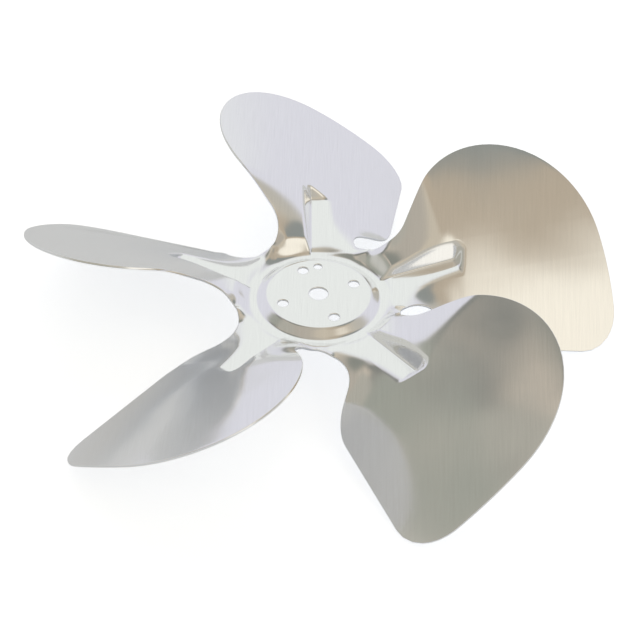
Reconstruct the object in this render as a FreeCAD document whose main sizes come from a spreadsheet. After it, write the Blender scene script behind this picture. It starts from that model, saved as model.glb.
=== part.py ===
import FreeCAD, Part

# Axial fan impeller, pressed in one piece from flat sheet: a raised hub disc in a lower
# flange, and five twisted, cambered blades, each with a stiffening channel along its arm.
# Millimetres, origin at the centre of the hub's upper face, +Z along the shaft axis.
# The blade formulas are for the arm along +Y, whose high edge is on the -X side; the other
# blades are turned copies.

import math
import os

import Sketcher
from FreeCAD import Placement, Rotation, Vector

SIZES = (
    ("FanDiameter", 254.0, "across the blade tips"),
    ("BladeCount", 5, "blades round the hub"),
    ("SheetThickness", 1.0, "of the pressed sheet"),
    ("CentreBore", 8.0, "shaft hole diameter"),
    ("BoltCircle", 32.0, "diameter of the circle of screw holes"),
    ("BoltHole", 4.5, "screw hole diameter"),
    ("BoltCount", 4, "screw holes"),
    ("BoltTurn", 25.0, "degrees from +X to a screw hole"),
    ("KeyHole", 3.5, "locating hole diameter"),
    ("KeyHoleRadius", 17.3, "axis to the locating hole"),
    ("KeyHoleTurn", 92.0, "degrees from +X to the locating hole"),
    ("DiscRadius", 21.5, "flat hub disc, out to its bend"),
    ("SlopeWidth", 4.2, "width of the slope from the disc down to the flange"),
    ("FlangeDrop", 2.8, "hub face down to the flange round the disc"),
    ("FlangeWidth", 1.6, "level flange from the slope out to where the arms begin"),
    ("FloorRound", 1.0, "inner round along the edges of the channel's floor"),
    ("ArmRise", 5.1, "blade axis above the flange, at mid span"),
    ("ArmRiseEnd", 64.0, "radius where the arm has risen in full"),
    ("StepShare", 0.42, "share of that rise made in a steep step round the hub"),
    ("StepEnd", 35.0, "radius where the steep step ends"),
    ("RootFade", 8.0, "distance from the hub over which the blade's twist fades in"),
    ("ArmFall", 2.9, "degrees that the blade axis falls outwards"),
    ("MidSpan", 80.0, "axis to the middle of a blade"),
    ("PitchAngle", 33.0, "degrees of blade pitch"),
    ("TwistStart", 18.5, "distance along the arm where its twist starts"),
    ("TwistEnd", 59.0, "distance along the arm where its twist is complete"),
    ("CamberRadius", 440.0, "radius of the blade's curved section"),
    ("RibStart", 28.8, "axis to the inner end of the channel's floor"),
    ("RibEnd", 61.0, "axis to the outer end of the channel's floor"),
    ("RibTurn", 1.5, "degrees from the arm to its channel"),
    ("RibFoot", 2.6, "channel's line to the foot of its steep wall"),
    ("RibClimb", 5.5, "degrees that the channel's floor climbs outwards"),
    ("RibWallHigh", 67.0, "degrees of the channel's wall on the blade's high side"),
    ("RibWallLow", 11.0, "degrees of the channel's wall towards the low side"),
    ("RibWallStart", 55.0, "degrees of the channel's inner end wall"),
    ("RibWallEnd", 60.0, "degrees of the channel's outer end wall"),
    ("NotchRadius", 11.0, "round notch between two blades"),
    ("NotchCentre", 46.3, "axis to the centre of the notch"),
    ("NotchTurn", 33.2, "degrees from an arm to the notch on its low side"),
    ("HeelCentre", 68.0, "axis to the centre of the inner corner of the blade's low edge"),
    ("HeelTurn", 9.6, "degrees from the arm to that centre"),
    ("NeckGap", 0.5838, "clearance between that corner's circle and the notch's circle"),
    ("TipCornerRadius", 17.0, "outer corner of the blade's low edge"),
    ("TipCornerTurn", 10.5, "degrees from the arm to that corner's centre"),
    ("BackStart", 43.0, "axis to the near side of the round on the blade's high edge"),
    ("BackTurn", 2.1, "degrees from the arm to that round's centre"),
)

NOTCH_TO_HEEL = (
    "sqrt(HeelCentre * HeelCentre + NotchCentre * NotchCentre"
    " - 2 * HeelCentre * NotchCentre * cos((NotchTurn - HeelTurn) * 1deg))"
)

DERIVED = (
    ("TipRadius", "FanDiameter / 2", "axis to the blade tips"),
    ("BackRadius", "(TipRadius - BackStart) / 2", "round of the blade's high edge"),
    ("SlopeEnd", "DiscRadius + SlopeWidth", "axis to the foot of the hub's slope"),
    ("HubRadius", "SlopeEnd + FlangeWidth", "axis to where the arms begin"),
    ("BoltRadius", "BoltCircle / 2", "axis to the screw holes"),
    ("HeelFromNotch", NOTCH_TO_HEEL, "between the centres of the notch and that corner"),
    ("HeelRadius", "HeelFromNotch - NotchRadius - NeckGap", "that corner of the low edge"),
    ("Sector", "360 / BladeCount", "degrees from one arm to the next"),
)

REACH = 60.0        # depth of the working blocks, beyond any part of a blade
JOINING = 0.001      # gap that the last join closes where a spline meets a round


def make_sheet(doc):
    """Spreadsheet with one aliased row for each driving size, then the sizes they set."""
    sheet = doc.addObject("Spreadsheet::Sheet", "Sizes")
    driving = [(name, str(value), note) for name, value, note in SIZES]
    derived = [(name, "=" + rule, note) for name, rule, note in DERIVED]
    for row, (name, value, note) in enumerate(driving + derived, start=1):
        sheet.set(f"A{row}", name)
        sheet.set(f"B{row}", value)
        sheet.setAlias(f"B{row}", name)
        sheet.set(f"C{row}", note)
    doc.recompute()
    return sheet


doc = FreeCAD.newDocument("AxialFanImpeller")
sheet = make_sheet(doc)
size = {name: float(sheet.get(name)) for name, _, _ in SIZES + DERIVED}
thickness = size["SheetThickness"]
tip_radius = size["TipRadius"]
blade_count = int(size["BladeCount"])
sector = size["Sector"]


# ------------------------------------------------------------- sketch helpers

def origin_plane(body, role):
    return [item for item in body.Origin.OriginFeatures if item.Role == role][0]


def add_sketch(body, name, role):
    """Sketch on one of the body's own origin planes."""
    sketch = body.newObject("Sketcher::SketchObject", name)
    sketch.AttachmentSupport = [(origin_plane(body, role), "")]
    sketch.MapMode = "FlatFace"
    return sketch


def bind(sketch, kind, arguments, expression):
    """Constraint on a sketch whose value follows an expression of the sheet's cells."""
    index = sketch.addConstraint(Sketcher.Constraint(kind, *arguments))
    sketch.setExpression(f"Constraints[{index}]", expression)


# ------------------------------------------------------------------------ hub

def hub_profile(body):
    """Half section of the hub: raised disc, slope and flange at one thickness."""
    sketch = add_sketch(body, "HubProfile", "XZ_Plane")
    upper = [
        (0.0, 0.0),
        (size["DiscRadius"], 0.0),
        (size["SlopeEnd"], -size["FlangeDrop"]),
        (size["HubRadius"], -size["FlangeDrop"]),
    ]
    lower = [(across, height - thickness) for across, height in reversed(upper)]
    corners = [Vector(across, height, 0) for across, height in upper + lower]
    count = len(corners)
    for i, corner in enumerate(corners):
        sketch.addGeometry(Part.LineSegment(corner, corners[(i + 1) % count]))
    for i in range(count):
        sketch.addConstraint(Sketcher.Constraint("Coincident", i, 2, (i + 1) % count, 1))
    sketch.addConstraint(Sketcher.Constraint("Coincident", 0, 1, -1, 1))
    for level in (0, 2, 4, 6):
        sketch.addConstraint(Sketcher.Constraint("Horizontal", level))
    for upright in (3, 7):
        sketch.addConstraint(Sketcher.Constraint("Vertical", upright))
    sketch.addConstraint(Sketcher.Constraint("Parallel", 1, 5))
    bind(sketch, "Distance", (5, 1, 1, thickness), "Sizes.SheetThickness")
    for lower_end, upper_end in (((3, 2), (3, 1)), ((7, 1), (7, 2))):
        heights = (*lower_end, *upper_end, thickness)
        bind(sketch, "DistanceY", heights, "Sizes.SheetThickness")
    for corner, name in enumerate(("DiscRadius", "SlopeEnd", "HubRadius"), start=1):
        bind(sketch, "DistanceX", (-1, 1, corner, 1, size[name]), f"Sizes.{name}")
    bind(sketch, "DistanceY", (2, 1, -1, 1, size["FlangeDrop"]), "Sizes.FlangeDrop")
    return sketch


def drill(body, name, diameter, radius=None, turn=None):
    """Round hole through the hub disc: cells of its diameter, its radius and turn from +X."""
    sketch = add_sketch(body, name + "Sketch", "XY_Plane")
    reach = size[radius] if radius else 0.0
    angle = math.radians(size[turn]) if turn else 0.0
    centre = Vector(reach * math.cos(angle), reach * math.sin(angle), 0)
    sketch.addGeometry(Part.Circle(centre, Vector(0, 0, 1), size[diameter] / 2.0))
    bind(sketch, "Diameter", (0, size[diameter]), f"Sizes.{diameter}")
    if radius:
        along_x = f"Sizes.{radius} * cos(Sizes.{turn} * 1deg)"
        along_y = f"Sizes.{radius} * sin(Sizes.{turn} * 1deg)"
        bind(sketch, "DistanceX", (-1, 1, 0, 3, centre.x), along_x)
        bind(sketch, "DistanceY", (-1, 1, 0, 3, centre.y), along_y)
    else:
        sketch.addConstraint(Sketcher.Constraint("Coincident", 0, 3, -1, 1))
    pocket = body.newObject("PartDesign::Pocket", name)
    pocket.Profile = sketch
    pocket.Type = "ThroughAll"
    pocket.Midplane = True
    doc.recompute()
    return pocket


def make_hub():
    """Dished hub disc as a revolved section, with its holes drilled."""
    body = doc.addObject("PartDesign::Body", "HubBody")
    profile = hub_profile(body)
    turned = body.newObject("PartDesign::Revolution", "HubTurned")
    turned.Profile = profile
    turned.ReferenceAxis = (profile, ["V_Axis"])
    turned.Angle = 360.0
    doc.recompute()
    drill(body, "CentreHole", "CentreBore")
    drill(body, "LocatingHole", "KeyHole", "KeyHoleRadius", "KeyHoleTurn")
    screw = drill(body, "ScrewHole", "BoltHole", "BoltRadius", "BoltTurn")
    pattern = body.newObject("PartDesign::PolarPattern", "ScrewHoles")
    pattern.Originals = [screw]
    pattern.Axis = (origin_plane(body, "Z_Axis"), [""])
    pattern.Angle = 360.0
    pattern.Occurrences = int(size["BoltCount"])
    pattern.setExpression("Occurrences", "Sizes.BoltCount")
    body.Tip = pattern
    doc.recompute()
    return body


# ---------------------------------------------------------------- blade outline

def polar(radius, turn):
    """Point at a radius and a turn in degrees from the arm towards its low side."""
    angle = math.radians(turn)
    return Vector(radius * math.sin(angle), radius * math.cos(angle), 0)


def tangent_line(centre_a, reach_a, centre_b, reach_b, side):
    """Ends of the line touching two circles; a negative reach puts a circle on its far side."""
    between = centre_b - centre_a
    along = Vector(between).normalize()
    across = Vector(along.y, -along.x, 0)
    share = (reach_a - reach_b) / between.Length
    normal = along * share + across * math.sqrt(1.0 - share * share)
    if normal * side < 0:
        normal = along * share - across * math.sqrt(1.0 - share * share)
    return centre_a + normal * reach_a, centre_b + normal * reach_b


def arc(centre, radius, start, end):
    """Counter-clockwise arc of a circle between two points on it."""
    first = math.atan2(start.y - centre.y, start.x - centre.x)
    last = math.atan2(end.y - centre.y, end.x - centre.x)
    if last < first:
        last += 2.0 * math.pi
    return Part.ArcOfCircle(Part.Circle(centre, Vector(0, 0, 1), radius), first, last)


def outline_curves():
    """One sector of the sheet in plan, in order round the blade from the low side's seam."""
    low_side = Vector(1, 0, 0)
    notch, heel = size["NotchRadius"], size["HeelRadius"]
    corner, back = size["TipCornerRadius"], size["BackRadius"]
    low_notch = polar(size["NotchCentre"], size["NotchTurn"])
    high_notch = polar(size["NotchCentre"], size["NotchTurn"] - sector)
    heel_at = polar(size["HeelCentre"], size["HeelTurn"])
    corner_at = polar(tip_radius - corner, size["TipCornerTurn"])
    back_at = polar(tip_radius - back, -size["BackTurn"])
    neck_low = tangent_line(low_notch, -notch, heel_at, heel, low_side)
    edge_low = tangent_line(heel_at, heel, corner_at, corner, low_side)
    neck_high = tangent_line(back_at, back, high_notch, -notch, low_side * -1)
    tip_low = polar(tip_radius, size["TipCornerTurn"])
    tip_high = polar(tip_radius, -size["BackTurn"])
    aside = math.radians(sector / 2.0 - size["NotchTurn"])
    across = size["NotchCentre"] * math.sin(aside)
    seam = size["NotchCentre"] * math.cos(aside) - math.sqrt(notch * notch - across * across)
    seam_low, seam_high = polar(seam, sector / 2.0), polar(seam, -sector / 2.0)
    centre = Vector(0, 0, 0)
    return [
        Part.LineSegment(centre, seam_low),
        arc(low_notch, notch, neck_low[0], seam_low),
        Part.LineSegment(*neck_low),
        arc(heel_at, heel, neck_low[1], edge_low[0]),
        Part.LineSegment(*edge_low),
        arc(corner_at, corner, edge_low[1], tip_low),
        arc(centre, tip_radius, tip_low, tip_high),
        arc(back_at, back, tip_high, neck_high[0]),
        Part.LineSegment(*neck_high),
        arc(high_notch, notch, seam_high, neck_high[1]),
        Part.LineSegment(seam_high, centre),
    ]


def bind_point(sketch, element, radius, turn, axes="XY"):
    """Ties an arc's centre to the expressions of its radius and its turn from the arm."""
    centre = sketch.Geometry[element].Center
    if "X" in axes:
        bind(sketch, "DistanceX", (-1, 1, element, 3, centre.x), f"({radius}) * sin({turn})")
    if "Y" in axes:
        bind(sketch, "DistanceY", (-1, 1, element, 3, centre.y), f"({radius}) * cos({turn})")


def make_blank():
    """Flat outline of one sector, padded through the whole height of the blades."""
    body = doc.addObject("PartDesign::Body", "SectorBlank")
    sketch = add_sketch(body, "SectorOutline", "XY_Plane")
    for curve in outline_curves():
        sketch.addGeometry(curve)
    for joint in ((0, 2, 1, 2), (0, 1, 10, 2), (10, 1, 9, 1), (0, 1, -1, 1), (6, 3, -1, 1)):
        sketch.addConstraint(Sketcher.Constraint("Coincident", *joint))
    smooth_joints = (
        (1, 1, 2, 1), (2, 2, 3, 1), (3, 2, 4, 1), (4, 2, 5, 1), (5, 2, 6, 1),
        (6, 2, 7, 1), (7, 2, 8, 1), (8, 2, 9, 2),
    )
    for joint in smooth_joints:
        sketch.addConstraint(Sketcher.Constraint("Tangent", *joint))
    radii = (
        (1, "NotchRadius"), (3, "HeelRadius"), (5, "TipCornerRadius"),
        (7, "BackRadius"), (9, "NotchRadius"),
    )
    for element, name in radii:
        bind(sketch, "Radius", (element, size[name]), f"Sizes.{name}")
    bind(sketch, "Radius", (6, tip_radius), "Sizes.TipRadius")
    half = math.radians(sector / 2.0)
    bind(sketch, "Angle", (0, 1, -2, 1, half), "Sizes.Sector * 1deg / 2")
    bind(sketch, "Angle", (-2, 1, 10, 2, half), "Sizes.Sector * 1deg / 2")
    neighbour = "(Sizes.NotchTurn - Sizes.Sector) * 1deg"
    bind_point(sketch, 1, "Sizes.NotchCentre", "Sizes.NotchTurn * 1deg")
    bind_point(sketch, 9, "Sizes.NotchCentre", neighbour)
    bind_point(sketch, 3, "Sizes.HeelCentre", "Sizes.HeelTurn * 1deg")
    corner_reach = "Sizes.TipRadius - Sizes.TipCornerRadius"
    bind_point(sketch, 5, corner_reach, "Sizes.TipCornerTurn * 1deg", "X")
    back_reach = "Sizes.TipRadius - Sizes.BackRadius"
    bind_point(sketch, 7, back_reach, "-Sizes.BackTurn * 1deg", "X")
    pad = body.newObject("PartDesign::Pad", "SectorPad")
    pad.Profile = sketch
    pad.Midplane = True
    pad.Length = 2.0 * REACH
    doc.recompute()
    return body


# ------------------------------------------------------------------ blade form

def smooth(share):
    """S-shaped step from 0 to 1, level at both ends."""
    share = min(max(share, 0.0), 1.0)
    return share * share * (3.0 - 2.0 * share)


def section_height(x):
    """Height of the blade's round section above the blade axis, x to the low side."""
    pitch = math.radians(size["PitchAngle"])
    radius = size["CamberRadius"]
    return math.sqrt(radius**2 - (x + radius * math.sin(pitch)) ** 2) - radius * math.cos(pitch)


def sheet_top(x, y):
    """Height of the sheet's upper face at a point near the arm along +Y."""
    radius = math.hypot(x, y)
    turn = abs(math.degrees(math.atan2(x, y)))
    foot, fade = size["HubRadius"], size["RootFade"]
    step = smooth((radius - foot) / (size["StepEnd"] - foot))
    slow = smooth((radius - foot) / (size["ArmRiseEnd"] - foot))
    risen = size["StepShare"] * step + (1.0 - size["StepShare"]) * slow
    fall = math.tan(math.radians(size["ArmFall"])) * (y - size["MidSpan"])
    neck = size["NotchCentre"] - size["NotchRadius"]
    in_seam = smooth((turn - sector / 3.0) / (sector / 6.0))
    in_seam *= 1.0 - smooth((radius - neck) / fade)
    along = (y - size["TwistStart"]) / (size["TwistEnd"] - size["TwistStart"])
    twisted = smooth(along) * smooth((radius - foot) / fade) * (1.0 - in_seam)
    lean = math.cos(math.radians(size["ArmFall"]))
    blade = risen * (size["ArmRise"] - fall) + twisted * section_height(x) / lean
    return blade - size["FlangeDrop"]


def face_point(x, y, depth):
    """Point of the sheet's upper face, moved by a depth along the face's normal."""
    step = 0.01
    slope_x = (sheet_top(x + step, y) - sheet_top(x - step, y)) / (2.0 * step)
    slope_y = (sheet_top(x, y + step) - sheet_top(x, y - step)) / (2.0 * step)
    normal = Vector(slope_x, slope_y, -1.0).normalize()
    return Vector(x, y, sheet_top(x, y)) + normal * depth


def block_under(depth):
    """Solid below the sheet's upper face, or below the face at a depth under it.

    The twisted part is one smooth face out to where the twist is complete; from there its
    outer edge runs straight on along the blade. Its second row of points lies on the hub's
    rim, so that the two meet at one level.
    """
    columns, rows, crowding = 12, 14, 1.2
    fall = math.radians(size["ArmFall"])
    half = math.radians(sector / 2.0 + 2.0)
    rim = size["HubRadius"]
    outer = size["TwistEnd"] + thickness
    grid = []
    for i in range(columns + 1):
        turn = half * (2.0 * i / columns - 1.0)
        toward = Vector(math.sin(turn), math.cos(turn), 0)
        end_x = outer * math.tan(turn)
        end = Vector(end_x, outer + section_height(end_x) * math.sin(fall), 0)
        spots = [toward * (rim - thickness)]
        for j in range(rows + 1):
            spots.append(toward * rim + (end - toward * rim) * (j / rows) ** crowding)
        grid.append([face_point(spot.x, spot.y, depth) for spot in spots])
    surface = Part.BSplineSurface()
    surface.interpolate(grid)
    twisted = surface.toShape()
    outer_edge = max(twisted.Edges, key=lambda edge: edge.CenterOfMass.y)
    reach = tip_radius - outer + REACH / 3.0
    straight = outer_edge.extrude(Vector(0, math.cos(fall), -math.sin(fall)) * reach)
    down = Vector(0, 0, -2.0 * REACH)
    return twisted.extrude(down).fuse(straight.extrude(down))


# -------------------------------------------------------------------- channel

def crossing(normal_a, reach_a, normal_b, reach_b):
    """Point where two lines meet, each given by its normal and its distance from the origin."""
    turn = normal_a[0] * normal_b[1] - normal_a[1] * normal_b[0]
    first = (reach_a * normal_b[1] - reach_b * normal_a[1]) / turn
    second = (reach_b * normal_a[0] - reach_a * normal_b[0]) / turn
    return first, second


def wall_line(degrees, side, foot, depth):
    """Line of a wall rising from a foot towards one side (-1 or 1), at a depth outside it."""
    angle = math.radians(degrees)
    normal = (side * math.sin(angle), -math.cos(angle))
    return normal, foot * normal[0] + depth


def level_line(height):
    return (0.0, 1.0), height


def section_face(lines, place):
    """Face between lines that cross in turn, its corners placed by a function."""
    corners = [crossing(*line, *lines[i - 1]) for i, line in enumerate(lines)]
    points = [place(across, height) for across, height in corners]
    return Part.Face(Part.makePolygon(points + points[:1]))


def channel_block(depth):
    """Solid above the channel's faces, or above the faces at a depth outside them.

    Cross section: a steep wall to the high side and a gentle one to the low side.
    Long section: a floor with a sloped wall at each end. Its lower edges are rounded, all but
    those of the inner end, which only just breaks the sheet.
    """
    reach = size["RibEnd"]
    foot = -size["RibFoot"]
    lid = level_line(reach / 2.0)
    across = [
        lid,
        wall_line(size["RibWallHigh"], -1, foot, depth),
        wall_line(size["RibWallLow"], 1, foot, depth),
        ((1.0, 0.0), reach),
    ]
    along = [
        lid,
        wall_line(size["RibWallStart"], -1, size["RibStart"], depth),
        level_line(-2.0 * thickness - depth),
        wall_line(size["RibWallEnd"], 1, size["RibEnd"], depth),
    ]
    cross_face = section_face(across, lambda x, z: Vector(x, 0, z))
    long_face = section_face(along, lambda y, z: Vector(-2.0 * reach, y, z))
    cross_prism = cross_face.extrude(Vector(0, 2.0 * reach, 0))
    block = cross_prism.common(long_face.extrude(Vector(4.0 * reach, 0, 0)))
    lower_edges = []
    for edge in block.Edges:
        walls = [face for face in block.Faces if any(edge.isSame(side) for side in face.Edges)]
        downward = all(face.normalAt(0, 0).z < -0.1 for face in walls)
        if downward and edge.BoundBox.YMax > size["RibEnd"] - reach / 4.0:
            lower_edges.append(edge)
    block = block.makeFillet(size["FloorRound"] + depth, lower_edges)
    block.rotate(Vector(0, size["RibStart"], 0), Vector(1, 0, 0), size["RibClimb"])
    block.rotate(Vector(0, 0, 0), Vector(0, 0, 1), size["RibTurn"])
    block.translate(Vector(0, 0, -size["FlangeDrop"]))
    return block


# ------------------------------------------------------------------- assembly

def add_shape(name, shape, label=None):
    feature = doc.addObject("Part::Feature", name)
    feature.Shape = shape
    feature.Label = label or name
    return feature


def add_boolean(kind, name, base, tool):
    result = doc.addObject(kind, name)
    result.Base = base
    result.Tool = tool
    return result


def make_blade(blank):
    """One sector of the sheet outside the hub: arm, channel and twisted, cambered blade."""
    core = doc.addObject("Part::Cylinder", "HubCore")
    core.setExpression("Radius", "Sizes.HubRadius")
    core.Height = 2.0 * REACH
    core.Placement = Placement(Vector(0, 0, -REACH), Rotation())
    ring_sector = add_boolean("Part::Cut", "RingSector", blank, core)
    upper = add_shape("UpperBlock", block_under(0.0))
    lower = add_shape("LowerBlock", block_under(thickness))
    inside = add_shape("ChannelInside", channel_block(0.0))
    outside = add_shape("ChannelOutside", channel_block(thickness))
    under_top = add_boolean("Part::Common", "UnderUpperFace", ring_sector, upper)
    pressed_top = add_boolean("Part::Cut", "PressedUpperFace", under_top, inside)
    pressed_bottom = add_boolean("Part::Cut", "PressedLowerFace", lower, outside)
    blade = add_boolean("Part::Cut", "BladeSector", pressed_top, pressed_bottom)
    doc.recompute()
    return blade


def make_impeller():
    """Hub and turned blade sectors joined into the one pressed sheet."""
    hub = make_hub()
    blade = make_blade(make_blank())
    pieces = []
    for i in range(blade_count):
        piece = add_shape(f"Blade{i + 1}", blade.Shape.copy())
        piece.Placement = Placement(Vector(0, 0, 0), Rotation(Vector(0, 0, 1), i * sector))
        pieces.append(piece.Shape)
    joined = hub.Shape.multiFuse(pieces, JOINING)
    return add_shape("Impeller", joined, "impeller")


impeller = make_impeller()
for item in doc.Objects:
    if "Invalid" in item.State or "Error" in item.State:
        raise RuntimeError(f"{item.Label} did not build: {item.State}")
solid = impeller.Shape
if solid.isNull() or not solid.isValid() or len(solid.Solids) != 1:
    raise RuntimeError(f"{impeller.Label}: {len(solid.Solids)} solids, valid: {solid.isValid()}")
os.makedirs("parts", exist_ok=True)
solid.exportStep(f"parts/{impeller.Label}.step")
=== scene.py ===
"""Axial fan impeller of pressed sheet aluminium, in a small studio.

The impeller is one pressed sheet, built here as one piece in place of the frame's solid.
A grid laid over one sector of the blank is pressed by the same form as the solid. It is
turned round the hub, thickened, drilled and given rounded edges.
"""

import logging
import math
from dataclasses import dataclass, field, replace
from enum import Enum

import bpy
import numpy as np
from mathutils import Matrix, Vector


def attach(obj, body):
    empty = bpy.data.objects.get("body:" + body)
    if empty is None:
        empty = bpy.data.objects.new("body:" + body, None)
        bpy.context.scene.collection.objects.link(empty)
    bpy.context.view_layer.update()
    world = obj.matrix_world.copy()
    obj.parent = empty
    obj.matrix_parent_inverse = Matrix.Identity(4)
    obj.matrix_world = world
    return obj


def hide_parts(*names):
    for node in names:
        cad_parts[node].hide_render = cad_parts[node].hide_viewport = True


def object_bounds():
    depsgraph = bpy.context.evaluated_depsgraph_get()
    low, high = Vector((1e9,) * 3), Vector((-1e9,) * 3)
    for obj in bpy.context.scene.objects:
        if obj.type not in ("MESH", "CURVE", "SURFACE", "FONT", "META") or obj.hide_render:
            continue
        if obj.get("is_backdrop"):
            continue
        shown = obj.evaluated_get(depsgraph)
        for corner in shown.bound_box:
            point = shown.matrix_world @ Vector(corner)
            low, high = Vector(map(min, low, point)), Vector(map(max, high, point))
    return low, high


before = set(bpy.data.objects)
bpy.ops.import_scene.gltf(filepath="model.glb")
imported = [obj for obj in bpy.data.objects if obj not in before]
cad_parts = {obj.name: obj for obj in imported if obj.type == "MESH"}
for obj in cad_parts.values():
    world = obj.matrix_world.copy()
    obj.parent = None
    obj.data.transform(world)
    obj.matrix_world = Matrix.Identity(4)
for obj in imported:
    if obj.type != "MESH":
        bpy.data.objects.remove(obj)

MM = 0.001
ARC_POINTS = 90
FLOOR_GAP = 0.5
NODE = "impeller"
log = logging.getLogger("impeller")


class Side(Enum):
    """Sides of a blade, as signs of x for the blade along +Y."""

    LOW = 1.0
    HIGH = -1.0


# --------------------------------------------------------------------------- form

def smooth(share: np.ndarray) -> np.ndarray:
    """S-shaped step from 0 to 1, level at both ends."""
    share = np.clip(share, 0.0, 1.0)
    return share * share * (3.0 - 2.0 * share)


def soft_ramp(along: np.ndarray, ease: float) -> np.ndarray:
    """Zero before 0 and a slope of one after it, rounded where they meet.

    Args:
        along: distances from the bend.
        ease: how far the rounding reaches each way.

    Returns:
        Heights of the rounded ramp.
    """
    rounded = (along + ease) ** 2 / (4.0 * ease)
    return np.where(along < -ease, 0.0, np.where(along > ease, along, rounded))


def soft_lower(first: np.ndarray, second: np.ndarray, ease: float) -> np.ndarray:
    """The lower of two heights, rounded where they cross.

    Args:
        first: heights of one face.
        second: heights of the other face.
        ease: difference in height at which the rounding starts.

    Returns:
        Heights of the joined face.
    """
    near = np.maximum(ease - np.abs(first - second), 0.0) / ease
    return np.minimum(first, second) - near * near * ease / 4.0


@dataclass(frozen=True)
class SheetForm:
    """Form of the pressed sheet's upper face in millimetres, for the arm along +Y."""

    tip_radius: float = 126.85
    sheet: float = 1.0
    disc_radius: float = 21.5
    slope_end: float = 25.7
    hub_radius: float = 27.3
    flange_drop: float = 2.8
    hub_ease: float = 0.85
    arm_rise: float = 5.1
    arm_rise_end: float = 64.0
    step_share: float = 0.42
    step_end: float = 35.0
    root_fade: float = 8.0
    arm_fall: float = 2.9
    mid_span: float = 80.0
    pitch: float = 33.0
    twist_start: float = 18.5
    twist_end: float = 59.0
    camber_radius: float = 440.0
    neck_radius: float = 35.3
    channel_start: float = 28.8
    channel_end: float = 61.0
    channel_turn: float = 1.5
    channel_foot: float = 2.6
    channel_climb: float = 5.5
    wall_high: float = 67.0
    wall_low: float = 11.0
    wall_start: float = 55.0
    wall_end: float = 60.0
    floor_ease: float = 1.9
    floor_sink: float = 0.6
    start_ease: float = 1.0
    lip_ease: float = 2.4
    rim_fade: float = 2.5
    seam_turn: float = 24.0
    seam_fade: float = 12.0

    def hub(self, radius: np.ndarray) -> np.ndarray:
        """Height of the hub above the flange: raised disc, then a slope down to the flange.

        Args:
            radius: distances from the shaft axis.

        Returns:
            Heights that end at zero on the flange.
        """
        down = self.flange_drop / (self.slope_end - self.disc_radius)
        height = np.full_like(radius, self.flange_drop)
        for place, bend in ((self.disc_radius, -down), (self.slope_end, down)):
            height = height + bend * soft_ramp(radius - place, self.hub_ease)
        return height

    def blade(self, x: np.ndarray, y: np.ndarray) -> np.ndarray:
        """Height of the arm and its twisted, cambered blade above the flange.

        Args:
            x: places across the arm.
            y: places along the arm.

        Returns:
            Heights that start at zero on the hub's rim.
        """
        radius = np.hypot(x, y)
        turn = np.abs(np.degrees(np.arctan2(x, y)))
        step = smooth((radius - self.hub_radius) / (self.step_end - self.hub_radius))
        slow = smooth((radius - self.hub_radius) / (self.arm_rise_end - self.hub_radius))
        risen = self.step_share * step + (1.0 - self.step_share) * slow
        fall = math.tan(math.radians(self.arm_fall)) * (y - self.mid_span)
        in_seam = smooth((turn - self.seam_turn) / self.seam_fade)
        in_seam = in_seam * (1.0 - smooth((radius - self.neck_radius) / self.root_fade))
        twisted = smooth((y - self.twist_start) / (self.twist_end - self.twist_start))
        twisted = twisted * smooth((radius - self.hub_radius) / self.root_fade) * (1.0 - in_seam)
        pitch = math.radians(self.pitch)
        arc = self.camber_radius**2 - (x + self.camber_radius * math.sin(pitch)) ** 2
        section = np.sqrt(arc) - self.camber_radius * math.cos(pitch)
        lean = math.cos(math.radians(self.arm_fall))
        return risen * (self.arm_rise - fall) + twisted * section / lean

    def channel(self, x: np.ndarray, y: np.ndarray) -> np.ndarray:
        """Height above the flange of the stiffening channel pressed along the arm.

        Args:
            x: places across the arm.
            y: places along the arm.

        Returns:
            Heights of the channel's floor and walls, which run on past the sheet.
        """
        turn = math.radians(self.channel_turn)
        along = y * math.cos(turn) - x * math.sin(turn)
        across = x * math.cos(turn) + y * math.sin(turn)
        steep = math.tan(math.radians(self.wall_high))
        gentle = math.tan(math.radians(self.wall_low))
        across = across + self.channel_foot
        side = np.where(across < 0.0, -across * steep, across * gentle)
        end = np.maximum(along - self.channel_end, 0.0) * math.tan(math.radians(self.wall_end))
        start = soft_ramp(self.channel_start - along, self.start_ease)
        start = start * math.tan(math.radians(self.wall_start))
        trough = np.sqrt(side**2 + end**2 + self.floor_ease**2)
        climb = (along - self.channel_start) * math.tan(math.radians(self.channel_climb))
        return trough - self.floor_sink * self.floor_ease + start + climb

    def height(self, x: np.ndarray, y: np.ndarray) -> np.ndarray:
        """Height of the whole upper face.

        Args:
            x: places across the arm.
            y: places along the arm.

        Returns:
            Heights above the disc's upper face, which is level with the origin.
        """
        radius = np.hypot(x, y)
        pressed = soft_lower(self.blade(x, y), self.channel(x, y), self.lip_ease)
        outside = smooth((radius - self.hub_radius) / self.rim_fade)
        arm = self.blade(x, y) * (1.0 - outside) + pressed * outside
        return arm + self.hub(radius) - self.flange_drop


def polar(radius: float, turn: float) -> np.ndarray:
    """Point at a radius from the shaft axis.

    Args:
        radius: distance from the axis.
        turn: degrees from the arm towards the low side.

    Returns:
        The point's place across and along the arm.
    """
    angle = math.radians(turn)
    return np.array([radius * math.sin(angle), radius * math.cos(angle)])


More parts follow.
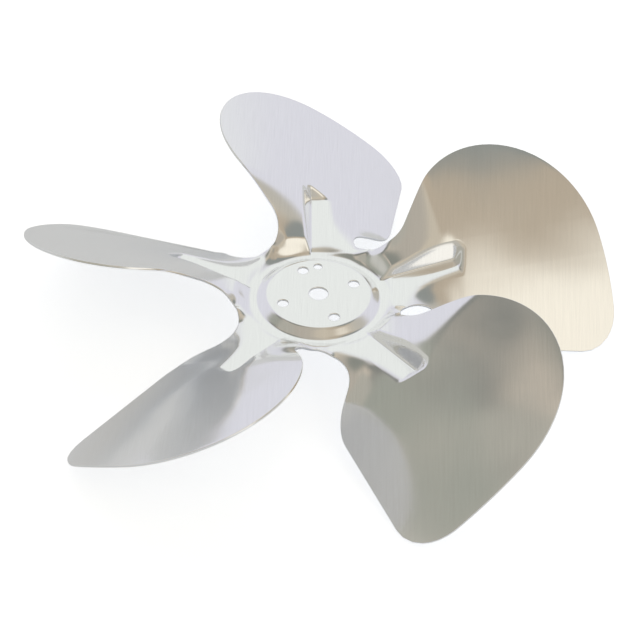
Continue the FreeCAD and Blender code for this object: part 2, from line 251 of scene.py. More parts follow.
def tangent_line(
    centre_a: np.ndarray, reach_a: float, centre_b: np.ndarray, reach_b: float, side: Side
) -> tuple[np.ndarray, np.ndarray]:
    """Line that touches two circles.

    Args:
        centre_a: first circle's centre.
        reach_a: first circle's radius, negative to touch it on its far side.
        centre_b: second circle's centre.
        reach_b: second circle's radius, negative to touch it on its far side.
        side: side of the blade that the line lies on.

    Returns:
        The points where the line leaves the first circle and meets the second.
    """
    between = centre_b - centre_a
    length = float(np.hypot(*between))
    along = between / length
    across = np.array([along[1], -along[0]])
    share = (reach_a - reach_b) / length
    normal = along * share + across * math.sqrt(1.0 - share * share)
    if normal[0] * side.value < 0:
        normal = along * share - across * math.sqrt(1.0 - share * share)
    return centre_a + normal * reach_a, centre_b + normal * reach_b


def arc_points(centre: np.ndarray, start: np.ndarray, end: np.ndarray, left: bool) -> np.ndarray:
    """Points of an arc.

    Args:
        centre: centre of the arc.
        start: first point.
        end: last point.
        left: whether the arc turns left, or counter-clockwise.

    Returns:
        Points from start to end.
    """
    first = math.atan2(start[1] - centre[1], start[0] - centre[0])
    last = math.atan2(end[1] - centre[1], end[0] - centre[0])
    if left and last < first:
        last += 2.0 * math.pi
    if not left and last > first:
        last -= 2.0 * math.pi
    radius = float(np.hypot(*(start - centre)))
    angles = np.linspace(first, last, ARC_POINTS)
    return np.column_stack([
        centre[0] + radius * np.cos(angles), centre[1] + radius * np.sin(angles)
    ])


@dataclass
class Curve:
    """Open line of points in plan, read by distance along it."""

    points: np.ndarray
    marks: list[float] = field(default_factory=list)

    @classmethod
    def chain(cls, pieces: list[np.ndarray]) -> "Curve":
        """Joins lines end to end.

        Args:
            pieces: points of each line, the first of one on the last of another.

        Returns:
            One curve, whose marks are the distances at the end of each line.
        """
        marks = []
        run = 0.0
        for piece in pieces:
            run += float(np.hypot(*np.diff(piece, axis=0).T).sum())
            marks.append(run)
        points = np.vstack([piece if i == 0 else piece[1:] for i, piece in enumerate(pieces)])
        return cls(points, marks)

    @property
    def distances(self) -> np.ndarray:
        """Distance along the curve at each of its points."""
        steps = np.hypot(*np.diff(self.points, axis=0).T)
        return np.concatenate([[0.0], np.cumsum(steps)])

    def at(self, along: np.ndarray) -> np.ndarray:
        """Points of the curve.

        Args:
            along: distances from its start.

        Returns:
            One point for each distance.
        """
        reach = self.distances
        return np.column_stack([
            np.interp(along, reach, self.points[:, 0]), np.interp(along, reach, self.points[:, 1])
        ])


@dataclass(frozen=True)
class Outline:
    """Edge of one sector of the blank in plan, in millimetres and degrees."""

    form: SheetForm
    sector: float = 72.0
    notch_radius: float = 11.0
    notch_centre: float = 46.3
    notch_turn: float = 33.2
    heel_radius: float = 20.0
    heel_centre: float = 68.0
    heel_turn: float = 9.6
    corner_radius: float = 17.0
    corner_turn: float = 10.5
    back_radius: float = 42.0
    back_turn: float = 2.1
    shoulder_turn: float = 140.0
    start_radius: float = 27.3

    def seam(self) -> float:
        """Finds where the notch crosses the line between two sectors.

        Returns:
            The crossing's distance from the shaft axis.
        """
        aside = math.radians(self.sector / 2.0 - self.notch_turn)
        across = self.notch_centre * math.sin(aside)
        reach = math.sqrt(self.notch_radius**2 - across**2)
        return self.notch_centre * math.cos(aside) - reach

    def low_edge(self) -> Curve:
        """Edge on the blade's low side.

        Returns:
            Seam, notch, neck, heel, straight edge and half of the tip corner.
        """
        notch = polar(self.notch_centre, self.notch_turn)
        heel = polar(self.heel_centre, self.heel_turn)
        corner = polar(self.form.tip_radius - self.corner_radius, self.corner_turn)
        neck = tangent_line(notch, -self.notch_radius, heel, self.heel_radius, Side.LOW)
        edge = tangent_line(heel, self.heel_radius, corner, self.corner_radius, Side.LOW)
        start = polar(self.start_radius, self.sector / 2.0)
        seam = polar(self.seam(), self.sector / 2.0)
        tip = polar(self.form.tip_radius, self.corner_turn)
        corner_arc = arc_points(corner, edge[1], tip, True)
        return Curve.chain([
            np.array([start, seam]), arc_points(notch, seam, neck[0], False), np.array(neck),
            arc_points(heel, neck[1], edge[0], True), np.array(edge),
            corner_arc[: len(corner_arc) // 2 + 1],
        ])

    def high_edge(self) -> Curve:
        """Edge on the blade's high side.

        Returns:
            Seam, notch, neck and the round back, up to the shoulder.
        """
        notch = polar(self.notch_centre, self.notch_turn - self.sector)
        back = polar(self.form.tip_radius - self.back_radius, -self.back_turn)
        neck = tangent_line(back, self.back_radius, notch, -self.notch_radius, Side.HIGH)
        start = polar(self.start_radius, -self.sector / 2.0)
        seam = polar(self.seam(), -self.sector / 2.0)
        return Curve.chain([
            np.array([start, seam]), arc_points(notch, seam, neck[1], True),
            np.array([neck[1], neck[0]]), arc_points(back, neck[0], self.shoulder(), False),
        ])

    def shoulder(self) -> np.ndarray:
        """Finds where the high edge ends and the tip edge starts.

        Returns:
            A point of the round back.
        """
        back = polar(self.form.tip_radius - self.back_radius, -self.back_turn)
        turn = math.radians(self.shoulder_turn)
        return back + self.back_radius * np.array([math.cos(turn), math.sin(turn)])

    def tip_edge(self) -> Curve:
        """Edge over the tip.

        Returns:
            Rest of the round back, the tip's arc and the first half of the tip corner.
        """
        back = polar(self.form.tip_radius - self.back_radius, -self.back_turn)
        corner = polar(self.form.tip_radius - self.corner_radius, self.corner_turn)
        tip_high = polar(self.form.tip_radius, -self.back_turn)
        tip_low = polar(self.form.tip_radius, self.corner_turn)
        end = self.low_edge().points[-1]
        return Curve.chain([
            arc_points(back, self.shoulder(), tip_high, False),
            arc_points(np.zeros(2), tip_high, tip_low, False),
            arc_points(corner, tip_low, end, False),
        ])


@dataclass(frozen=True)
class SectorGrid:
    """Grid over one sector: fine, parallel columns along the channel, wider ones beside it.

    Lengths are in millimetres; columns and rows are counts of faces.
    """

    form: SheetForm
    outline: Outline
    strip: float = 7.0
    strip_columns: int = 44
    side_columns: int = 11
    hub_rows: int = 20
    channel_rows: int = 66
    seam_rows: int = 5
    blade_rows: int = 22
    channel_reach: float = 68.0
    inner_radius: float = 21.0
    notch_reach: float = 14.5
    notch_share: float = 0.77
    relax_passes: int = 150

    def columns(self) -> int:
        """Faces across the sector."""
        return self.strip_columns + 2 * self.side_columns

    def rows(self) -> int:
        """Faces from the disc to the tip."""
        return self.hub_rows + self.channel_rows + self.blade_rows

    def shares(self) -> np.ndarray:
        """Spaces the rows: even along the channel, then wider towards the tip.

        Returns:
            Share of the way from the hub's rim to the tip at each row.
        """
        span = self.form.tip_radius - self.form.hub_radius
        bend = (self.channel_reach - self.form.hub_radius) / span
        inner = np.linspace(0.0, bend, self.channel_rows + 1)
        steps = np.linspace(0.0, 1.0, self.blade_rows + 1)[1:]
        fine = bend / self.channel_rows * self.blade_rows / (1.0 - bend)
        outer = bend + (1.0 - bend) * (fine * steps + (1.0 - fine) * steps**2)
        return np.concatenate([inner, outer])

    def edge_rows(self, edge: Curve, shares: np.ndarray) -> np.ndarray:
        """Spreads the rows along a side edge, two of them held at the seam and in the notch.

        Args:
            edge: side edge, from the hub's rim outwards.
            shares: share of the way out at each row.

        Returns:
            One point for each row.
        """
        span = self.form.tip_radius - self.form.hub_radius
        places = np.array([0.0, shares[self.seam_rows], self.notch_reach / span, 1.0])
        in_notch = edge.marks[0] + self.notch_share * (edge.marks[1] - edge.marks[0])
        marks = np.array([0.0, edge.marks[0], in_notch, edge.marks[-1]])
        return edge.at(np.interp(shares, places, marks))

    def relax(self, points: np.ndarray) -> np.ndarray:
        """Evens out a patch's inner points, its border held.

        Args:
            points: the patch's points by row and column.

        Returns:
            The evened points.
        """
        points = points.copy()
        for _ in range(self.relax_passes):
            around = points[:-2, 1:-1] + points[2:, 1:-1] + points[1:-1, :-2] + points[1:-1, 2:]
            points[1:-1, 1:-1] = around / 4.0
        return points

    def strip_line(self, across: float, shares: np.ndarray, tip: Curve) -> np.ndarray:
        """Draws a line beside the channel, from the hub's rim to the tip edge.

        Args:
            across: distance of the line from the channel's axis.
            shares: share of the way out at each row.
            tip: the tip edge.

        Returns:
            One point for each row.
        """
        turn = math.radians(self.form.channel_turn)
        offsets = tip.points[:, 0] * math.cos(turn) + tip.points[:, 1] * math.sin(turn)
        lengths = tip.points[:, 1] * math.cos(turn) - tip.points[:, 0] * math.sin(turn)
        far = float(np.interp(across, offsets, lengths))
        near = math.sqrt(self.form.hub_radius**2 - across**2)
        along = near + (far - near) * shares
        return np.column_stack([
            across * math.cos(turn) - along * math.sin(turn),
            along * math.cos(turn) + across * math.sin(turn),
        ])

    def patch(
        self, left: np.ndarray, right: np.ndarray, bottom: np.ndarray, top: np.ndarray,
        shares: np.ndarray,
    ) -> np.ndarray:
        """Fills the space between four lines with a Coons patch.

        Args:
            left: line on the high side, by row.
            right: line on the low side, by row.
            bottom: line along the hub's rim, by column.
            top: line along the tip edge, by column.
            shares: share of the way out at each row.

        Returns:
            The patch's points by row and column.
        """
        u = np.linspace(0.0, 1.0, len(bottom))[None, :, None]
        v = shares[:, None, None]
        sides = (1 - u) * left[:, None, :] + u * right[:, None, :]
        ends = (1 - v) * bottom[None, :, :] + v * top[None, :, :]
        corners = (1 - u) * (1 - v) * bottom[0] + u * (1 - v) * bottom[-1]
        corners = corners + (1 - u) * v * top[0] + u * v * top[-1]
        return sides + ends - corners

    def rim_lines(self) -> tuple[np.ndarray, np.ndarray]:
        """Divides the hub's rim on each side of the strip.

        Returns:
            Points of the rim on the high side and on the low side, by column.
        """
        rim = self.form.hub_radius
        half = math.radians(self.outline.sector / 2.0)
        tilt = math.radians(self.form.channel_turn)
        edge_turn = math.asin(self.strip / rim)
        high = np.linspace(-half, -edge_turn - tilt, self.side_columns + 1)
        low = np.linspace(edge_turn - tilt, half, self.side_columns + 1)
        return (
            rim * np.column_stack([np.sin(high), np.cos(high)]),
            rim * np.column_stack([np.sin(low), np.cos(low)]),
        )

    def tip_lines(self, tip: Curve) -> tuple[np.ndarray, np.ndarray]:
        """Divides the tip edge on each side of the strip.

        Args:
            tip: the tip edge.

        Returns:
            Points of the tip edge on the high side and on the low side, by column.
        """
        tilt = math.radians(self.form.channel_turn)
        reach = tip.distances
        turned = tip.points[:, 0] * math.cos(tilt) + tip.points[:, 1] * math.sin(tilt)
        first, last = np.interp([-self.strip, self.strip], turned, reach)
        return (
            tip.at(np.linspace(0.0, first, self.side_columns + 1)),
            tip.at(np.linspace(last, reach[-1], self.side_columns + 1)),
        )

    def plan(self) -> np.ndarray:
        """Lays the grid out flat: rings on the hub, then a fine strip between two patches.

        Returns:
            Plan positions in millimetres, by row from the disc out.
        """
        shares = self.shares()
        tip = self.outline.tip_edge()
        offsets = np.linspace(-self.strip, self.strip, self.strip_columns + 1)
        middle = np.stack([self.strip_line(offset, shares, tip) for offset in offsets], axis=1)
        high = self.edge_rows(self.outline.high_edge(), shares)
        low = self.edge_rows(self.outline.low_edge(), shares)
        high_rim, low_rim = self.rim_lines()
        high_tip, low_tip = self.tip_lines(tip)
        left = self.relax(self.patch(high, middle[:, 0], high_rim, high_tip, shares))
        right = self.relax(self.patch(middle[:, -1], low, low_rim, low_tip, shares))
        blade = np.concatenate([left[:, :-1], middle, right[:, 1:]], axis=1)
        turns = np.arctan2(blade[0, :, 0], blade[0, :, 1])
        radii = np.linspace(self.inner_radius, self.form.hub_radius, self.hub_rows + 1)[:-1]
        ring = radii[:, None, None] * np.stack([np.sin(turns), np.cos(turns)], axis=1)[None]
        return np.concatenate([ring, blade], axis=0)

    def points(self) -> np.ndarray:
        """Presses the flat grid.

        Returns:
            Positions of the grid's points in metres, in one list.
        """
        plan = self.plan()
        height = self.form.height(plan[..., 0], plan[..., 1])
        return np.concatenate([plan, height[..., None]], axis=2).reshape(-1, 3) * MM


# ----------------------------------------------------------------------- modelling

def only(piece: bpy.types.Object) -> None:
    """Makes a piece the one selected and active object.

    Args:
        piece: the piece to select.
    """
    bpy.ops.object.select_all(action="DESELECT")
    piece.select_set(True)
    bpy.context.view_layer.objects.active = piece


def apply_modifier(piece: bpy.types.Object, kind: str, **settings: object) -> None:
    """Adds a modifier and applies it.

    Args:
        piece: the piece to change.
        kind: the modifier's type.
        **settings: values of the modifier's attributes, by name.
    """
    only(piece)
    modifier = piece.modifiers.new(kind.title(), kind)
    for name, value in settings.items():
        setattr(modifier, name, value)
    bpy.ops.object.modifier_apply(modifier=modifier.name)


@dataclass(frozen=True)
class Hole:
    """Round hole through the hub disc, in millimetres and degrees from +X."""

    diameter: float
    radius: float = 0.0
    turn: float = 0.0
    sides: int = 72
    cutter_depth: float = 8.0

    def cutter(self) -> bpy.types.Object:
        """Makes the cylinder that takes the hole out of the sheet.

        Returns:
            The cylinder, which reaches past both faces of the disc.
        """
        bpy.ops.object.select_all(action="DESELECT")
        angle = math.radians(self.turn)
        place = (self.radius * math.cos(angle) * MM, self.radius * math.sin(angle) * MM, 0.0)
        bpy.ops.mesh.primitive_cylinder_add(
            vertices=self.sides, radius=self.diameter / 2.0 * MM,
            depth=self.cutter_depth * MM, location=place,
        )
        return bpy.context.active_object


@dataclass
class Impeller:
    """The pressed sheet: hub with its holes, arms with their channels, and the blades.

    Sizes are in millimetres and angles in degrees.
    """

    form: SheetForm = field(default_factory=SheetForm)
    blades: int = 5
    shaft_hole: Hole = Hole(8.0)
    locating_hole: Hole = Hole(3.5, 17.3, 92.0)
    first_screw: Hole = Hole(4.5, 16.0, 25.0)
    screws: int = 4
    edge_round: float = 0.16
    hole_round: float = 0.34
    round_steps: int = 2
    sharp_angle: float = 60.0
    smooth_angle: float = 50.0
    weld_reach: float = 0.002
    fill_slack: float = 0.05

    def holes(self) -> list[Hole]:
        """Lists the disc's holes.

        Returns:
            Shaft hole, locating hole and the ring of screw holes.
        """
        turns = [self.first_screw.turn + 360.0 / self.screws * i for i in range(self.screws)]
        ring = [replace(self.first_screw, turn=turn) for turn in turns]
        return [self.shaft_hole, self.locating_hole] + ring

    def sector(self) -> bpy.types.Object:
        """Presses one sector of the upper face from a flat grid.

        Returns:
            The open sector for the arm along +Y.
        """
        grid = SectorGrid(self.form, Outline(self.form))
        bpy.ops.object.select_all(action="DESELECT")
        bpy.ops.mesh.primitive_grid_add(
            x_subdivisions=grid.columns(), y_subdivisions=grid.rows(), size=1.0
        )
        piece = bpy.context.active_object
        points = grid.points()
        assert len(points) == len(piece.data.vertices)
        piece.data.vertices.foreach_set("co", points.ravel())
        piece.data.update()
        return piece

    def upper_face(self) -> bpy.types.Object:
        """Turns copies of the sector round the hub and welds them.

        Returns:
            The whole upper face, still open in the disc's middle.
        """
        first = self.sector()
        sectors = [first]
        for i in range(1, self.blades):
            copy = first.copy()
            copy.data = first.data.copy()
            bpy.context.collection.objects.link(copy)
            copy.data.transform(Matrix.Rotation(math.tau * i / self.blades, 4, "Z"))
            sectors.append(copy)
        bpy.ops.object.select_all(action="DESELECT")
        for piece in sectors:
            piece.select_set(True)
        bpy.context.view_layer.objects.active = first
        bpy.ops.object.join()
        bpy.ops.object.mode_set(mode="EDIT")
        bpy.ops.mesh.select_all(action="SELECT")
        bpy.ops.mesh.remove_doubles(threshold=self.weld_reach * MM)
        bpy.ops.mesh.select_all(action="DESELECT")
        bpy.ops.object.mode_set(mode="OBJECT")
        return first

    def fill_disc(self, piece: bpy.types.Object) -> None:
        """Fills the disc's middle with one flat face.

        Args:
            piece: the open upper face.
        """
        inner = SectorGrid(self.form, Outline(self.form)).inner_radius
        reach = (inner + self.fill_slack) * MM
        for vertex in piece.data.vertices:
            vertex.select = math.hypot(vertex.co.x, vertex.co.y) < reach
        bpy.ops.object.mode_set(mode="EDIT")
        bpy.ops.mesh.select_mode(type="VERT")
        bpy.ops.mesh.edge_face_add()
        bpy.ops.mesh.select_all(action="SELECT")
        bpy.ops.mesh.normals_make_consistent(inside=False)
        bpy.ops.object.mode_set(mode="OBJECT")

    def face_up(self, piece: bpy.types.Object) -> None:
        """Turns the open face so that its front is upwards.

        Args:
            piece: the upper face.
        """
        if sum(face.normal.z * face.area for face in piece.data.polygons) < 0:
            only(piece)
            bpy.ops.object.mode_set(mode="EDIT")
            bpy.ops.mesh.select_all(action="SELECT")
            bpy.ops.mesh.flip_normals()
            bpy.ops.object.mode_set(mode="OBJECT")

    def drill(self, piece: bpy.types.Object) -> None:
        """Cuts the holes out of the thickened sheet.

        Args:
            piece: the closed sheet.
        """
        for hole in self.holes():
            cutter = hole.cutter()
            apply_modifier(piece, "BOOLEAN", operation="DIFFERENCE", object=cutter, solver="EXACT")
            bpy.data.objects.remove(cutter, do_unlink=True)

    def mark_rims(self, piece: bpy.types.Object) -> None:
        """Weights the sharp edges to be rounded: fully in the holes, less along the outline.

        Args:
            piece: the drilled sheet.
        """
        only(piece)
        bpy.ops.object.mode_set(mode="EDIT")
        bpy.ops.mesh.select_mode(type="EDGE")
        bpy.ops.mesh.select_all(action="DESELECT")
        bpy.ops.mesh.edges_select_sharp(sharpness=math.radians(self.sharp_angle))
        bpy.ops.object.mode_set(mode="OBJECT")
        weights = piece.data.attributes.new("bevel_weight_edge", "FLOAT", "EDGE")
        disc = self.form.disc_radius * MM
        for edge in piece.data.edges:
            if not edge.select:
                continue
            corner = piece.data.vertices[edge.vertices[0]].co
            in_hole = math.hypot(corner.x, corner.y) < disc
            weights.data[edge.index].value = 1.0 if in_hole else self.edge_round / self.hole_round

    def build(self) -> bpy.types.Object:
        """Makes the finished piece.

        Returns:
            The impeller as one closed mesh with rounded edges.
        """
        piece = self.upper_face()
        self.fill_disc(piece)
        self.face_up(piece)
        piece.name = "impeller_sheet"
        piece.data.name = "impeller_sheet"
        apply_modifier(
            piece, "SOLIDIFY", thickness=self.form.sheet * MM, offset=-1.0,
            use_even_offset=True, use_quality_normals=True,
        )
        self.drill(piece)
        self.mark_rims(piece)
        apply_modifier(
            piece, "BEVEL", width=self.hole_round * MM, segments=self.round_steps,
            limit_method="WEIGHT", offset_type="OFFSET", use_clamp_overlap=False,
        )
        only(piece)
        bpy.ops.object.shade_smooth_by_angle(angle=math.radians(self.smooth_angle))
        apply_modifier(piece, "WEIGHTED_NORMAL", mode="FACE_AREA", weight=50, keep_sharp=True)
        log.info("impeller has %d faces", len(piece.data.polygons))
        return piece


# ----------------------------------------------------------------------- finishes

class NodeTree:
    """Small helper that adds and joins shader nodes."""

    def __init__(self, tree: bpy.types.NodeTree) -> None:
        """Empties the tree that is to be filled."""
        self.tree = tree
        tree.nodes.clear()

    def add(self, kind: str, **settings: object) -> bpy.types.Node:
        """Adds a node.

        Args:
            kind: the node's type.
            **settings: values of its attributes, or of its sockets when named in_SOCKET.

        Returns:
            The new node.
        """
        node = self.tree.nodes.new(kind)
        for name, value in settings.items():
            if name.startswith("in_"):
                key = name.removeprefix("in_")
                socket = int(key) if key.isdigit() else key.replace("_", " ")
                node.inputs[socket].default_value = value
            else:
                setattr(node, name, value)
        return node

    def join(self, source: bpy.types.NodeSocket, target: bpy.types.NodeSocket) -> None:
        """Links one socket to another."""
        self.tree.links.new(source, target)


@dataclass(frozen=True)
class SheetFinish:
    """Mill-finish aluminium sheet: rolling grain, faint clouds and a slight swell.

    Depths are in metres; a scale is the number of waves in a metre.
    """

    colour: tuple[float, float, float] = (0.955, 0.955, 0.955)
    streak_tone: float = 0.95
    streak_from: float = 0.35
    streak_to: float = 0.75
    roughness: float = 0.13
    grain_scale: tuple[float, float, float] = (2600.0, 60.0, 60.0)
    grain_rough: float = 0.02
    grain_strength: float = 0.02
    grain_depth: float = 0.0002
    cloud_scale: float = 28.0
    cloud_from: float = 0.3
    cloud_to: float = 0.7
    cloud_gloss: float = -0.03
    cloud_dull: float = 0.04
    swell_scale: float = 17.0
    swell_depth: float = 0.0022

    def material(self) -> bpy.types.Material:
        """Makes the procedural material, placed by Object coordinates.

        Returns:
            The finished material.
        """
        made = bpy.data.materials.new("rolled_aluminium")
        made.use_nodes = True
        nodes = NodeTree(made.node_tree)
        place = nodes.add("ShaderNodeTexCoord").outputs["Object"]
        stretch = nodes.add("ShaderNodeMapping", in_Scale=self.grain_scale)
        nodes.join(place, stretch.inputs["Vector"])
        noise = nodes.add("ShaderNodeTexNoise", in_Scale=1.0, in_Detail=3.0, in_Roughness=0.6)
        nodes.join(stretch.outputs["Vector"], noise.inputs["Vector"])
        grain = noise.outputs["Fac"]
        shader = nodes.add("ShaderNodeBsdfPrincipled", in_Metallic=1.0)
        nodes.join(self.tone(nodes, grain), shader.inputs["Base Color"])
        nodes.join(self.gloss(nodes, grain, place), shader.inputs["Roughness"])
        nodes.join(self.relief(nodes, grain, place), shader.inputs["Normal"])
        output = nodes.add("ShaderNodeOutputMaterial")
        nodes.join(shader.outputs["BSDF"], output.inputs["Surface"])
        return made

    def tone(self, nodes: NodeTree, grain: bpy.types.NodeSocket) -> bpy.types.NodeSocket:
        """Darkens the metal a little along the grain's streaks.

        Args:
            nodes: the material's nodes.
            grain: strength of the grain.

        Returns:
            The metal's colour.
        """
        streak = nodes.add(
            "ShaderNodeMapRange", in_From_Min=self.streak_from, in_From_Max=self.streak_to
        )
        nodes.join(grain, streak.inputs["Value"])
        tint = nodes.add("ShaderNodeMix", data_type="RGBA")
        tint.inputs["A"].default_value = self.colour + (1.0,)
        tint.inputs["B"].default_value = tuple(self.streak_tone * v for v in self.colour) + (1.0,)
        nodes.join(streak.outputs["Result"], tint.inputs["Factor"])
        return tint.outputs["Result"]

    def gloss(
        self, nodes: NodeTree, grain: bpy.types.NodeSocket, place: bpy.types.NodeSocket
    ) -> bpy.types.NodeSocket:
        """Varies the metal's roughness along the grain and in faint clouds.

        Args:
            nodes: the material's nodes.
            grain: strength of the grain.
            place: Object coordinates.

        Returns:
            The metal's roughness.
        """
        cloud = nodes.add(
            "ShaderNodeTexNoise", in_Scale=self.cloud_scale, in_Detail=4.0, in_Roughness=0.6
        )
        nodes.join(place, cloud.inputs["Vector"])
        fine = nodes.add(
            "ShaderNodeMapRange", in_To_Min=-self.grain_rough, in_To_Max=self.grain_rough
        )
        nodes.join(grain, fine.inputs["Value"])
        even = nodes.add("ShaderNodeMath", operation="ADD", in_1=self.roughness)
        nodes.join(fine.outputs["Result"], even.inputs[0])
        broad = nodes.add(
            "ShaderNodeMapRange", in_From_Min=self.cloud_from, in_From_Max=self.cloud_to,
            in_To_Min=self.cloud_gloss, in_To_Max=self.cloud_dull,
        )
        nodes.join(cloud.outputs["Fac"], broad.inputs["Value"])
        total = nodes.add("ShaderNodeMath", operation="ADD")
        nodes.join(even.outputs[0], total.inputs[0])
        nodes.join(broad.outputs["Result"], total.inputs[1])
        return total.outputs[0]

    def relief(
        self, nodes: NodeTree, grain: bpy.types.NodeSocket, place: bpy.types.NodeSocket
    ) -> bpy.types.NodeSocket:
        """Bends the reflections by a broad swell and by the fine grain.

        Args:
            nodes: the material's nodes.
            grain: strength of the grain.
            place: Object coordinates.

        Returns:
            The surface's normal.
        """
        swell = nodes.add(
            "ShaderNodeTexNoise", in_Scale=self.swell_scale, in_Detail=1.0, in_Roughness=0.4
        )
        nodes.join(place, swell.inputs["Vector"])
        waves = nodes.add("ShaderNodeBump", in_Strength=1.0, in_Distance=self.swell_depth)
        nodes.join(swell.outputs["Fac"], waves.inputs["Height"])
        bump = nodes.add(
            "ShaderNodeBump", in_Strength=self.grain_strength, in_Distance=self.grain_depth
        )
        nodes.join(grain, bump.inputs["Height"])
        nodes.join(waves.outputs["Normal"], bump.inputs["Normal"])
        return bump.outputs["Normal"]


# -------------------------------------------------------------------------- studio

def shown(red: float, green: float, blue: float) -> tuple[float, float, float]:
    """Linear colour of a shade as a display shows it, by the sRGB curve.

    Args:
        red: display value from 0 to 255.
        green: display value from 0 to 255.
        blue: display value from 0 to 255.

    Returns:
        The linear colour.
    """
    shares = (value / 255.0 for value in (red, green, blue))
    return tuple(v / 12.92 if v <= 0.04045 else ((v + 0.055) / 1.055) ** 2.4 for v in shares)


@dataclass(frozen=True)
class Border:
    """Soft edge of a patch: cosines with an axis at which the patch starts and is full."""

    toward: tuple[float, float, float]
    starts: float
    full: float


@dataclass(frozen=True)
class Patch:
    """Patch of the surroundings: a colour inside one or more soft borders."""

    colour: tuple[float, float, float]
    borders: tuple[Border, ...]

    @classmethod
    def glow(
        cls, colour: tuple[float, float, float], toward: tuple[float, float, float],
        core: float, reach: float,
    ) -> "Patch":
        """Makes a round patch.

        Args:
            colour: linear colour of the patch.
            toward: direction of its middle.
            core: degrees from the middle out to which it is full.
            reach: degrees from the middle at which it is gone.

        Returns:
            The patch, with one border.
        """
        starts, full = math.cos(math.radians(reach)), math.cos(math.radians(core))
        return cls(colour, (Border(toward, starts, full),))

    @classmethod
    def panel(
        cls, colour: tuple[float, float, float], edges: tuple[tuple[float, float, float], ...],
        ease: float,
    ) -> "Patch":
        """Makes a patch with straight edges.

        Args:
            colour: linear colour of the patch.
            edges: normals of the planes that bound it, pointing into it.
            ease: degrees over which each edge fades, to either side.

        Returns:
            The patch, with one border for each edge.
        """
        soft = math.sin(math.radians(ease))
        return cls(colour, tuple(Border(edge, -soft, soft) for edge in edges))


def overhead(turn: float, lean: float) -> tuple[float, float, float]:
    """Direction that leans from straight up.

    Args:
        turn: degrees from +X of the side that it leans to.
        lean: degrees from straight up.

    Returns:
        The direction, of length one.
    """
    side, down = math.radians(turn), math.radians(lean)
    return (
        math.cos(side) * math.sin(down), math.sin(side) * math.sin(down), math.cos(down)
    )


def edge_beyond(turn: float, lean: float) -> tuple[float, float, float]:
    """Normal of a plane past which a panel lies.

    Args:
        turn: degrees from +X of the side on which the panel lies.
        lean: degrees from straight up at which the panel starts.

    Returns:
        The normal, of length one.
    """
    return overhead(turn, 90.0 + lean)


@dataclass(frozen=True)
class View:
    """Camera's place and lens, in millimetres and degrees."""

    rise: float = 41.41
    roll: float = 1.735
    distance: float = 820.6
    aside: float = -0.593
    up_shift: float = 11.076
    focal: float = 111.56625
    sensor: float = 36.0
    clip_start: float = 10.0


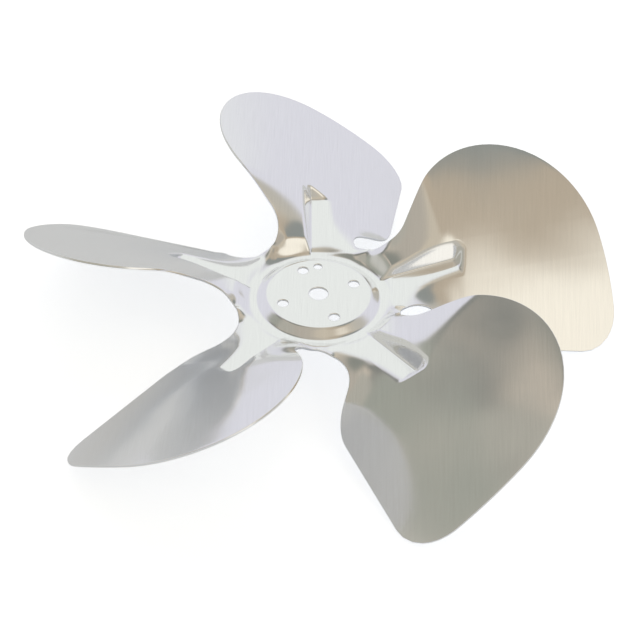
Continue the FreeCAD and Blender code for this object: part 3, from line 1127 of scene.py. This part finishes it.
@dataclass
class Studio:
    """Soft surroundings that light the object, a pale floor and the camera.

    The floor's height and size are in metres.
    """

    floor_height: float
    floor_size: float = 8.0
    floor_colour: tuple[float, float, float, float] = (0.86, 0.895, 0.955, 1.0)
    floor_seen: float = 0.6
    floor_in_metal: float = 0.09
    base: tuple[float, float, float] = shown(188, 184, 174)
    patches: tuple[Patch, ...] = (
        Patch.glow(shown(200, 190, 172), overhead(-90.0, 10.0), 20.0, 50.0),
        Patch.glow(shown(180, 173, 161), overhead(178.0, 26.0), 22.0, 34.0),
        Patch.glow(shown(142, 141, 134), overhead(166.0, 40.5), 2.0, 9.0),
        Patch.glow(shown(206, 194, 178), overhead(161.0, 30.0), 4.0, 9.0),
        Patch.panel(shown(176, 173, 162), (
            edge_beyond(-90.0, -7.5), edge_beyond(180.0, 27.0), (-0.4, 0.0, 1.0),
        ), 1.5),
        Patch.glow(shown(184, 171, 152), overhead(-5.0, 21.0), 10.0, 18.0),
        Patch.panel(shown(222, 222, 230), (
            edge_beyond(90.0, 26.0), (-0.26, 0.97, 0.0), (0.26, 0.97, 0.0),
        ), 7.0),
        Patch.glow(shown(236, 239, 236), overhead(90.0, 52.0), 16.0, 36.0),
        Patch.glow(shown(136, 138, 130), overhead(143.0, 22.0), 4.0, 13.0),
        Patch.glow(shown(130, 131, 125), overhead(152.0, 38.0), 3.0, 9.0),
        Patch.glow(shown(158, 160, 150), overhead(168.0, 50.0), 4.0, 12.0),
        Patch.glow(shown(142, 146, 142), overhead(32.0, 27.0), 8.0, 12.5),
        Patch.glow(shown(253, 246, 230), overhead(-33.0, 42.0), 9.0, 20.0),
        Patch.glow(shown(255, 252, 244), overhead(-57.0, 86.0), 12.0, 24.0),
        Patch.glow(shown(202, 202, 196), overhead(180.0, 92.0), 20.0, 45.0),
    )
    view: View = View()

    def world(self) -> None:
        """Surroundings as a soft field of light and dark patches, white to the camera."""
        world = bpy.data.worlds.new("studio")
        world.use_nodes = True
        bpy.context.scene.world = world
        nodes = NodeTree(world.node_tree)
        place = nodes.add("ShaderNodeTexCoord")
        colour = nodes.add("ShaderNodeRGB")
        colour.outputs[0].default_value = self.base + (1.0,)
        last = colour.outputs[0]
        for patch in self.patches:
            share = self.cover(nodes, place.outputs["Generated"], patch)
            mix = nodes.add("ShaderNodeMix", data_type="RGBA")
            mix.inputs["B"].default_value = patch.colour + (1.0,)
            nodes.join(share, mix.inputs["Factor"])
            nodes.join(last, mix.inputs["A"])
            last = mix.outputs["Result"]
        around = nodes.add("ShaderNodeBackground")
        nodes.join(last, around.inputs["Color"])
        white = nodes.add("ShaderNodeBackground", in_Color=(1.0, 1.0, 1.0, 1.0))
        path = nodes.add("ShaderNodeLightPath")
        pick = nodes.add("ShaderNodeMixShader")
        nodes.join(path.outputs["Is Camera Ray"], pick.inputs[0])
        nodes.join(around.outputs[0], pick.inputs[1])
        nodes.join(white.outputs[0], pick.inputs[2])
        output = nodes.add("ShaderNodeOutputWorld")
        nodes.join(pick.outputs[0], output.inputs["Surface"])

    def cover(
        self, nodes: NodeTree, toward: bpy.types.NodeSocket, patch: Patch
    ) -> bpy.types.NodeSocket:
        """Multiplies the soft steps of a patch's borders.

        Args:
            nodes: the world's nodes.
            toward: direction looked in.
            patch: the patch.

        Returns:
            How much of the patch covers the direction, from 0 to 1.
        """
        covered = None
        for border in patch.borders:
            facing = nodes.add("ShaderNodeVectorMath", operation="DOT_PRODUCT")
            facing.inputs[1].default_value = Vector(border.toward).normalized()
            nodes.join(toward, facing.inputs[0])
            step = nodes.add("ShaderNodeMapRange", interpolation_type="SMOOTHSTEP")
            step.inputs["From Min"].default_value = border.starts
            step.inputs["From Max"].default_value = border.full
            nodes.join(facing.outputs["Value"], step.inputs["Value"])
            if covered is None:
                covered = step.outputs["Result"]
                continue
            product = nodes.add("ShaderNodeMath", operation="MULTIPLY")
            nodes.join(covered, product.inputs[0])
            nodes.join(step.outputs["Result"], product.inputs[1])
            covered = product.outputs[0]
        return covered

    def floor(self) -> None:
        """Plain pale floor just under the object."""
        bpy.ops.object.select_all(action="DESELECT")
        bpy.ops.mesh.primitive_plane_add(
            size=self.floor_size, location=(0.0, 0.0, self.floor_height)
        )
        plane = bpy.context.active_object
        plane.name = "floor"
        made = bpy.data.materials.new("floor")
        made.use_nodes = True
        nodes = NodeTree(made.node_tree)
        matte = nodes.add("ShaderNodeBsdfDiffuse", in_Color=self.floor_colour)
        lift = nodes.add("ShaderNodeEmission", in_Color=(1.0, 1.0, 1.0, 1.0))
        path = nodes.add("ShaderNodeLightPath")
        mirrored = nodes.add("ShaderNodeMath", operation="MULTIPLY", in_1=self.floor_in_metal)
        nodes.join(path.outputs["Is Glossy Ray"], mirrored.inputs[0])
        strength = nodes.add("ShaderNodeMath", operation="MULTIPLY_ADD", in_1=self.floor_seen)
        nodes.join(path.outputs["Is Camera Ray"], strength.inputs[0])
        nodes.join(mirrored.outputs[0], strength.inputs[2])
        nodes.join(strength.outputs[0], lift.inputs["Strength"])
        both = nodes.add("ShaderNodeAddShader")
        nodes.join(matte.outputs[0], both.inputs[0])
        nodes.join(lift.outputs[0], both.inputs[1])
        output = nodes.add("ShaderNodeOutputMaterial")
        nodes.join(both.outputs[0], output.inputs["Surface"])
        plane.data.materials.append(made)
        plane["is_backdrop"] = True

    def camera(self) -> None:
        """Long lens from above the near side, aimed at the hub."""
        view = self.view
        rise, roll = math.radians(view.rise), math.radians(view.roll)
        forward = Vector((0.0, math.cos(rise), -math.sin(rise)))
        across = Vector((1.0, 0.0, 0.0))
        upward = Vector((0.0, math.sin(rise), math.cos(rise)))
        right = math.cos(roll) * across + math.sin(roll) * upward
        up = -math.sin(roll) * across + math.cos(roll) * upward
        place = (-view.distance * forward - view.aside * right - view.up_shift * up) * MM
        data = bpy.data.cameras.new("camera")
        data.lens = view.focal
        data.sensor_width = view.sensor
        data.clip_start = view.clip_start * MM
        camera = bpy.data.objects.new("camera", data)
        bpy.context.collection.objects.link(camera)
        turn = Matrix((right, up, -forward)).transposed().to_4x4()
        camera.matrix_world = Matrix.Translation(place) @ turn
        bpy.context.scene.camera = camera

    def build(self) -> None:
        """Sets the whole studio up."""
        self.world()
        self.floor()
        self.camera()
        bpy.context.scene.view_settings.view_transform = "Standard"


def main() -> None:
    """Builds the impeller and its studio."""
    logging.basicConfig(level=logging.INFO)
    solid_box = [list(map(float, corner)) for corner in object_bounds()]
    piece = Impeller().build()
    piece.data.materials.clear()
    piece.data.materials.append(SheetFinish().material())
    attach(piece, "root")
    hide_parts(NODE)
    lowest = solid_box[0][2]
    Studio(floor_height=lowest - FLOOR_GAP * MM).build()


if __name__ == "__main__":
    main()
